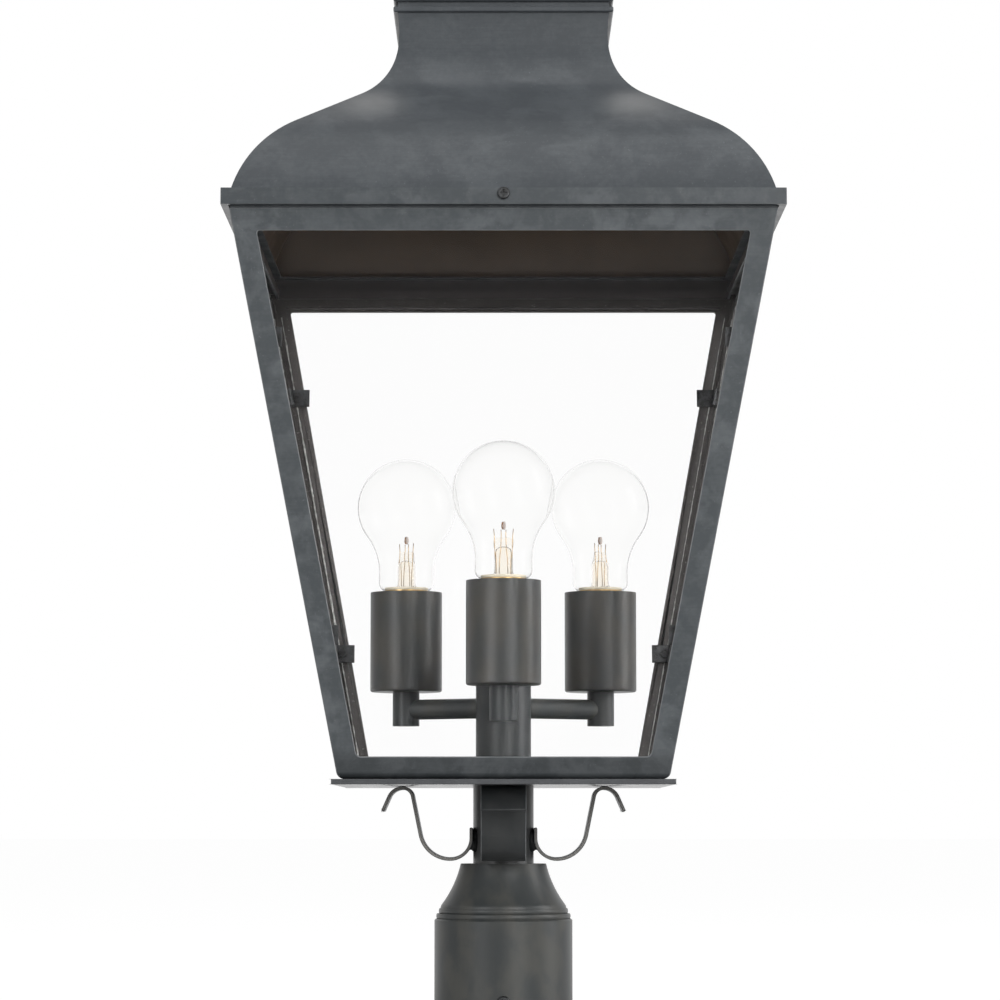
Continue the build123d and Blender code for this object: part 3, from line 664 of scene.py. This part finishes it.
def oval(centre, half_x, half_y, level, turn=0.0, steps=48):
    """One flat oval ring of points round an upright line."""
    points = []
    for k in range(steps):
        a = 2 * math.pi * k / steps
        x, y = half_x * math.cos(a), half_y * math.sin(a)
        points.append(Vector((
            centre[0] + x * math.cos(turn) - y * math.sin(turn),
            centre[1] + x * math.sin(turn) + y * math.cos(turn), level,
        )))
    return points


def tube_rings(points, radii, steps=12):
    """Rings carried along a line of points without twisting."""
    rings = []
    across = None
    for k, point in enumerate(points):
        before, after = points[max(k - 1, 0)], points[min(k + 1, len(points) - 1)]
        along = (after - before).normalized()
        if across is None:
            across = along.orthogonal().normalized()
        across = (across - along * across.dot(along)).normalized()
        up = along.cross(across)
        ring = []
        for j in range(steps):
            a = 2 * math.pi * j / steps
            ring.append(point + (across * math.cos(a) + up * math.sin(a)) * radii[k])
        rings.append(ring)
    return rings


def add_solid(shape, rings):
    """Stitch rings into a closed solid with a face on each end."""
    made = stitch(shape, rings, closed=False)
    shape.faces.new(made[0])
    shape.faces.new(list(reversed(made[-1])))


print("mesh helpers ready")

# %% Outline of the blown glass
round_steps = 72  # points in a ring
globe_radius = 30.0 * MM
glass_neck = 16.8 * MM
glass_neck_drop = 39.5 * MM
glass_heel = 13.0 * MM
glass_heel_drop = 4.6 * MM
glass_skin = 0.4 * MM
heel_sink = 1.7 * MM  # how far the heel reaches down round the cap's rim

# The neck runs into the globe by an arc that is square to both
neck_blend = (glass_neck**2 + glass_neck_drop**2 - globe_radius**2) / 2
neck_blend /= globe_radius - glass_neck
blend_turn = math.asin(glass_neck_drop / (globe_radius + neck_blend))


def envelope_outline(heel_level, globe_level):
    """Radius and level from the heel up to the crown."""
    neck_level = globe_level - glass_neck_drop
    points = []
    for k in range(7):
        a = math.pi / 2 * k / 6
        points.append((
            glass_heel + (glass_neck - glass_heel) * math.sin(a),
            heel_level + glass_heel_drop * (1 - math.cos(a)),
        ))
    for k in range(17):
        a = blend_turn * k / 16
        radius = glass_neck + neck_blend * (1 - math.cos(a))
        points.append((radius, neck_level + neck_blend * math.sin(a)))
    for k in range(1, 33):
        a = -blend_turn + (math.pi / 2 + blend_turn) * k / 32
        radius = max(globe_radius * math.cos(a), 0.0)
        points.append((radius, globe_level + globe_radius * math.sin(a)))
    return points


def inner_wall(outline, skin):
    """The same outline, drawn in square to itself."""
    points = []
    for k, (radius, level) in enumerate(outline):
        r0, z0 = outline[max(k - 1, 0)]
        r1, z1 = outline[min(k + 1, len(outline) - 1)]
        length = math.hypot(r1 - r0, z1 - z0)
        inner_radius = max(radius - (z1 - z0) / length * skin, 0.0)
        points.append((inner_radius, level + (r1 - r0) / length * skin))
    points[-1] = (0.0, outline[-1][1] - skin)
    return points


print("neck blend", round(neck_blend / MM, 2), "mm, turn", round(math.degrees(blend_turn), 1))

# %% Blow the three envelopes
lamp_centre = {}
globe_level = {}
for way in ways:
    low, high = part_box(f"bulb_glass_{way}")
    centre = ((low[0] + high[0]) / 2, (low[1] + high[1]) / 2)
    lamp_centre[way] = centre
    globe_level[way] = high[2] - globe_radius
    outline = envelope_outline(low[2] - heel_sink, globe_level[way])
    wall = outline + list(reversed(inner_wall(outline, glass_skin)))
    shape = bmesh.new()
    stitch(shape, [oval(centre, r, r, z, steps=round_steps) for r, z in wall], closed=True)
    envelope = finished_mesh(f"envelope_{way}", shape, lamp_glass, f"lamp_{way}")
    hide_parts(f"bulb_glass_{way}")
print("envelopes at", {way: [round(v / MM, 1) for v in lamp_centre[way]] for way in ways})

# %% [markdown]
# ## Basing cement
#
# A lamp's cap is held on its glass by a heat-set cement. The photograph shows a pale
# gap there, which is read as a cream ring of cement between the glass and the brass.

# %% Set the rings of cement
cement_outer = glass_heel + 0.25 * MM
cement_inner = glass_heel - 0.1 * MM
cement_lip = glass_heel - 1.2 * MM  # how far in it lies on the cap's rim
cement_height = 1.5 * MM

# Radius and level from the cap's upper rim, in a loop from the lip outwards and back
cement_loop = [
    (cement_lip, 0.15 * MM), (cement_outer - 0.2 * MM, 0.15 * MM),
    (cement_outer, -0.1 * MM), (cement_outer, 0.15 * MM - cement_height),
    (cement_outer - 0.1 * MM, -cement_height), (cement_inner, -cement_height),
    (cement_inner, 0.02 * MM), (cement_lip, 0.02 * MM), (cement_lip, 0.15 * MM),
]
for way in ways:
    cap_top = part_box(f"bulb_cap_{way}")[1][2]
    centre = lamp_centre[way]
    rings = [oval(centre, r, r, cap_top + z, steps=round_steps) for r, z in cement_loop]
    shape = bmesh.new()
    stitch(shape, rings, closed=False)
    finished_mesh(f"basing_cement_{way}", shape, cream_cement, f"lamp_{way}")
print("cement rings set")

# %% [markdown]
# ## Lamp mounts
#
# The mount is a thin glass tube that flares at the heel, where it was fused to the
# neck. Its upper end was heated and pinched flat over the lead wires, which shows as a
# bow of bright glass. Two leads rise on the outside as supports, and two inner ones
# carry the little upright coil. All four are one coppery wire here.

# %% Draw and pinch the mount tubes
# Radians: a lamp can stop at any angle when it is screwed in, so these are a guess
mount_turn = {"front": 0.0, "right": 0.9, "left": -0.7}

# In millimetres: half widths across and along the pinch, and the level from the globe's
# centre
pinch = [
    (6.0, 6.0, -48.6), (5.6, 5.6, -47.2), (5.4, 5.4, -45.0), (5.3, 5.3, -36.6),
    (5.3, 5.1, -34.0), (5.5, 4.0, -32.6), (5.8, 2.6, -31.0), (6.0, 1.8, -29.4),
    (5.9, 1.5, -28.2), (5.5, 1.3, -27.4), (4.4, 1.0, -27.0), (2.3, 0.6, -26.8),
    (0.0, 0.0, -26.75),
]
tube_bore = [
    (5.2, 5.2, -48.6), (4.8, 4.8, -46.8), (4.6, 4.6, -44.6), (4.5, 4.4, -36.0),
    (4.2, 3.7, -34.0), (2.8, 2.3, -32.8), (0.0, 0.0, -32.2),
]
for way in ways:
    rings = []
    for half_x, half_y, drop in pinch + list(reversed(tube_bore)):
        level = globe_level[way] + drop * MM
        turn = mount_turn[way]
        rings.append(oval(lamp_centre[way], half_x * MM, half_y * MM, level, turn))
    shape = bmesh.new()
    stitch(shape, rings, closed=True)
    finished_mesh(f"lamp_mount_{way}", shape, mount_glass, f"lamp_{way}")
print("mounts drawn")

# %% Lead wires and coils
coil_radius = 1.15 * MM
coil_height = 4.4 * MM
coil_turns = 8
coil_level = -19.9 * MM  # its middle, from the globe's centre
lead_radius = 0.22 * MM
coil_wire = 0.15 * MM
inner_aside = 0.3 * MM  # the inner leads lie beside the middle of the pinch

# In millimetres: how far from the lamp's middle line, and the level from the globe's
# centre
support_path = [
    (4.3, -49.0), (4.2, -44.0), (4.3, -39.5), (4.7, -36.0), (5.0, -32.5), (5.3, -27.0),
    (5.7, -21.8),
]
inner_path = [
    (2.6, -49.0), (2.4, -41.0), (2.0, -36.5), (1.5, -32.5), (1.35, -25.0), (1.45, -22.3),
]


def lamp_point(way, across, along, rise):
    """A point in the lamp: across and along its pinch, and above the globe's centre."""
    turn = mount_turn[way]
    x, y = lamp_centre[way]
    return Vector((
        x + across * math.cos(turn) - along * math.sin(turn),
        y + across * math.sin(turn) + along * math.cos(turn), globe_level[way] + rise,
    ))


for way in ways:
    shape = bmesh.new()
    for side in (-1, 1):
        for path, along in ((support_path, 0.0), (inner_path, inner_aside)):
            points = [lamp_point(way, side * a * MM, along, z * MM) for a, z in path]
            add_solid(shape, tube_rings(points, [lead_radius] * len(points)))
    finished_mesh(f"lead_wires_{way}", shape, lead_wire, f"lamp_{way}")

    shape = bmesh.new()
    steps = 12 * coil_turns
    points = []
    for k in range(steps + 1):
        a = 2 * math.pi * coil_turns * k / steps
        rise = coil_level + coil_height * (k / steps - 0.5)
        bulge = coil_radius * (0.75 + 0.35 * math.sin(math.pi * k / steps))
        points.append(lamp_point(way, bulge * math.cos(a), bulge * math.sin(a), rise))
    add_solid(shape, tube_rings(points, [coil_wire] * len(points), steps=8))
    coil = finished_mesh(f"coil_{way}", shape, hot_wire, f"lamp_{way}")
    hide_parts(f"filament_{way}")
print("wires and coils wound")

# %% [markdown]
# ## Putty along the panes
#
# The photograph shows a broken bright line down the inside of the rear stiles. It is
# made as the thin line of putty that a pane is bedded in, though it could be the edge
# of the glass, and the putty is painted pale to stand for the line's brightness, which
# is partly a glint of light: a painted highlight. Putty that is run by hand wanders in
# thickness, and in places it nearly ends, so seeded random numbers swell and thin it
# here.

# %% Run the lines of putty
random.seed(12)
plate_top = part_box("base_plate")[1][2]
body_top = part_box("frame_front")[1][2]
body_foot = 94.7 * MM  # half width of the body on the base plate
body_head = -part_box("frame_front")[0][1]  # and at its top edge
putty_inset = 6.9 * MM  # from the body's corner
putty_depth = 2.25 * MM  # behind the outer face, on the back of the sheet
putty_radius = 0.45 * MM
putty_end = 16 * MM  # it stops this far from the ends of the stiles
putty_swell = 0.75  # how much its radius changes
putty_wander = 0.08 * MM
putty_steps = 140


def body_half(level):
    """Half width of the body's outer faces at a level."""
    return body_foot + (body_head - body_foot) * (level - plate_top) / (body_top - plate_top)


putty_run = body_top - plate_top - 2 * putty_end
for turn, side in enumerate(sides):
    quarter = Matrix.Rotation(math.pi / 2 * turn, 3, "Z")
    shape = bmesh.new()
    for hand in (-1, 1):
        weight = 0.5 if (side, hand) == ("back", -1) else 1.0  # it looks thinner there
        points, radii = [], []
        swell = 0.0
        for k in range(putty_steps + 1):
            level = plate_top + putty_end + putty_run * k / putty_steps
            half = body_half(level)
            swell = 0.7 * swell + random.uniform(-0.6, 0.6)
            wander = random.uniform(-putty_wander, putty_wander)
            across = hand * (half - putty_inset) + wander
            points.append(quarter @ Vector((across, putty_depth - half, level)))
            fullness = 1 + putty_swell * max(-1.0, min(1.0, swell))
            radii.append(weight * putty_radius * fullness)
        add_solid(shape, tube_rings(points, radii, steps=8))
    finished_mesh(f"pane_putty_{side}", shape, putty_with_highlight, "lantern")
print("putty runs from", round(points[0].z, 4), "to", round(points[-1].z, 4))

# %% [markdown]
# ## Weld fillets of the straps
#
# Each scroll strap stands off the round stem below its tab. The photograph shows that
# wedge filled, which is read as a weld. It is a short block with a hollow lower end,
# whose ends thin out across the strap. One outline is drawn from the side and carried
# across in six steps.

# %% Outline of a weld
stem_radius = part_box("stem")[1][0]
strap_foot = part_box("scroll_strap_right")[0][2]
strap_sheet = 2.0 * MM
strap_heel = 12.5 * MM  # radius of the strap's lower bend, in the middle of its sheet
tab_length = 5.2 * MM
tab_top = strap_foot + strap_sheet / 2 + strap_heel + tab_length
heel_level = tab_top - tab_length
heel_face = strap_heel + strap_sheet / 2
wedge_turn = math.radians(34)
weld_root = stem_radius - 0.6 * MM  # inside the stem
weld_top = tab_top - 0.6 * MM
weld_foot_drop = 1.2 * MM
weld_hollow = 1.2 * MM  # in the lower end
weld_tail = 2.4 * MM

weld_outline = [(weld_root, weld_top), (stem_radius + 0.4 * MM, weld_top)]
for k in range(7):
    a = wedge_turn * k / 6
    x = stem_radius + 0.3 * MM + heel_face * (1 - math.cos(a))
    weld_outline.append((x, heel_level - heel_face * math.sin(a)))
foot_x, foot_z = weld_outline[-1]
for k in range(1, 6):
    share = k / 6
    x = foot_x + (stem_radius - 0.2 * MM - foot_x) * share
    z = foot_z + weld_hollow * math.sin(math.pi / 2 * share) - weld_tail * share**3
    weld_outline.append((x, z))
weld_outline.append((weld_root, foot_z - weld_foot_drop))
print("weld from", round(foot_z, 4), "to", round(weld_top, 4))

# %% Weld the straps to the stem
# Millimetres across the strap, and how much of the outline's height is left there
weld_slices = [(-9.5, 0.35), (-8.8, 0.8), (-7.5, 1.0), (7.5, 1.0), (8.8, 0.8), (9.5, 0.35)]
middle_z = (tab_top + foot_z) / 2
for turn, side in enumerate(["right", "back", "left", "front"]):
    quarter = Matrix.Rotation(math.pi / 2 * turn, 3, "Z")
    rings = []
    for across, kept in weld_slices:
        sunk = stem_radius - math.sqrt(stem_radius**2 - (across * MM) ** 2)
        ring = []
        for x, z in weld_outline:
            inwards = sunk if x < stem_radius else 0.0
            point = Vector((x - inwards, across * MM, middle_z + (z - middle_z) * kept))
            ring.append(quarter @ point)
        rings.append(ring)
    shape = bmesh.new()
    add_solid(shape, rings)
    finished_mesh(f"strap_weld_{side}", shape, column_paint, "lantern")
print("strap welds laid, tab top", round(tab_top, 4))

# %% [markdown]
# ## The studio
#
# The lantern was photographed on white, by a camera level with its lower part that
# looks slightly up from about 2 m in front, as far as its lines tell. Four large soft
# lamps light it here, from the front left, the front right, the right and above. They
# draw the long highlights on the turned pieces.

# %% Camera
photo_side = 1000  # pixels
focal_pixels = 3320.0
axis_pixel = 503.4  # where the lantern's axis crosses the photograph
horizon_pixels = 325  # from the photograph's middle down to the camera's own level
camera_away = 1.9935
camera_height = 0.1317
camera_rise = math.atan(horizon_pixels / focal_pixels)

lens = bpy.data.cameras.new("camera")
lens.sensor_width = 36.0
lens.lens = focal_pixels / photo_side * lens.sensor_width
camera = bpy.data.objects.new("camera", lens)
bpy.context.scene.collection.objects.link(camera)
aside = (axis_pixel - photo_side / 2) / focal_pixels * camera_away
camera.location = (-aside, -camera_away, camera_height)
camera.rotation_euler = (math.pi / 2 + camera_rise, 0, 0)
bpy.context.scene.camera = camera
print("lens", round(lens.lens, 1), "mm, looks up by", round(math.degrees(camera_rise), 2))


# %% Lamps of the studio
def soft_lamp(name, place, target, width, height, watts):
    """A lamp as large as a softbox, turned to its target."""
    lamp = bpy.data.lights.new(name, "AREA")
    lamp.shape = "RECTANGLE"
    lamp.size = width
    lamp.size_y = height
    lamp.energy = watts
    holder = bpy.data.objects.new(name, lamp)
    holder.location = place
    way_to = Vector(target) - Vector(place)
    holder.rotation_euler = way_to.to_track_quat("-Z", "Y").to_euler()
    bpy.context.scene.collection.objects.link(holder)
    print(name, watts, "W at", place)


middle = (0, 0, 0.35)
soft_lamp("left_softbox", (-1.5, -1.9, 0.9), middle, 1.0, 1.8, 15)
soft_lamp("front_softbox", (1.0, -2.2, 0.9), middle, 1.0, 1.6, 24)
soft_lamp("right_softbox", (2.2, -0.2, 0.9), middle, 0.9, 1.8, 20)
soft_lamp("top_softbox", (0, -0.6, 2.3), middle, 1.6, 1.6, 6)

# %% [markdown]
# ## White room and floor
#
# White behind the lantern must not light it, or the dark paint would wash out. So what
# the world gives depends on the ray that asks. The camera, straight or through glass,
# sees full white. Light that has met a dull surface gets only a soft fill. A mirroring
# surface sees a room that is bright at the back and dim behind the camera. Depth counts
# tell these apart, because a ray from the paint may still cross a pane of glass.
#
# The floor follows the same rule: it shines white to the eye and is matt grey to the
# paint, but a fifth of what the eye sees is a matt floor that takes the shadow.

# %% World
world = bpy.data.worlds.new("white_room")
bpy.context.scene.world = world
room = Finish("white_room", world)
fill_level = 0.5
camera_side = 0.3  # how bright the room behind the camera looks in the paint


def some(finish, level):
    """1 where a count is 1 or more."""
    return finish.node("ShaderNodeMath", {"operation": "MINIMUM"}, level, 1.0)


def bounces(finish, kind):
    """1 for light that has already met a dull, or a mirroring, surface on its way."""
    return some(finish, finish.node("ShaderNodeLightPath", {}, out=f"{kind} Depth"))


def ray_is(finish, *rays):
    """1 for these kinds of rays."""
    asked = [finish.node("ShaderNodeLightPath", {}, out=f"Is {ray} Ray") for ray in rays]
    return some(finish, sum(asked))


direction = room.node("ShaderNodeTexCoord", {}, out="Generated")
towards_back = room.dot(direction, (0, 1, 0))
mirrored = camera_side + (1 - camera_side) * room.ramp(towards_back, 0.45, 0.92)
dull = bounces(room, "Diffuse")
glossy = bounces(room, "Glossy") * (1 - dull)
seen = ray_is(room, "Camera", "Transmission") * (1 - dull) * (1 - glossy)
strength = fill_level * (1 - seen) * (1 - glossy) + seen + glossy * mirrored
glow = room.node("ShaderNodeBackground", {}, Color=(1, 1, 1, 1), Strength=strength)
room.node("ShaderNodeOutputWorld", {}, glow)
print("room ready")

# %% Floor
floor_half = 30.0
floor_gap = 0.5 * MM
floor_grey = (0.25, 0.25, 0.25)  # to the paint
floor_white = (0.9, 0.9, 0.9)  # to the eye
floor_shine = 1.12
shine_share = 0.8

corners = [(x * floor_half, y * floor_half, 0) for x, y in ((-1, -1), (1, -1), (1, 1), (-1, 1))]
floor_mesh = bpy.data.meshes.new("floor")
floor_mesh.from_pydata(corners, [], [(0, 1, 2, 3)])
floor = bpy.data.objects.new("floor", floor_mesh)
floor.location.z = -floor_gap
bpy.context.scene.collection.objects.link(floor)
floor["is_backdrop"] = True
pale = Finish("pale_floor")
lit = ray_is(pale, "Camera", "Glossy", "Transmission") * (1 - bounces(pale, "Diffuse"))
matt = pale.node("ShaderNodeBsdfDiffuse", {}, Color=pale.blend(lit, floor_grey, floor_white))
behind = pale.node("ShaderNodeSeparateXYZ", {}, own_place(pale), out="Y")
far_side = pale.ramp(behind, 0.05, 0.8)
mirror = bounces(pale, "Glossy")
shine = floor_shine * (1 - mirror * (1 - camera_side) * (1 - far_side))
white = pale.node("ShaderNodeEmission", {}, Color=(1, 1, 1, 1), Strength=shine)
both = pale.node("ShaderNodeMixShader", {}, lit * shine_share, matt, white)
floor_mesh.materials.append(pale.surface(both))

bpy.context.scene.view_settings.view_transform = "Standard"
print("floor laid")

# %% [markdown]
# ## Sizes
#
# The dressed lantern has to fill the same box as its solids. Its size is printed, so
# that a slip in scale or a piece that sticks out would show.

# %% Print the visual size
low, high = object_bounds()
print("visual size", [round(v, 4) for v in high - low])
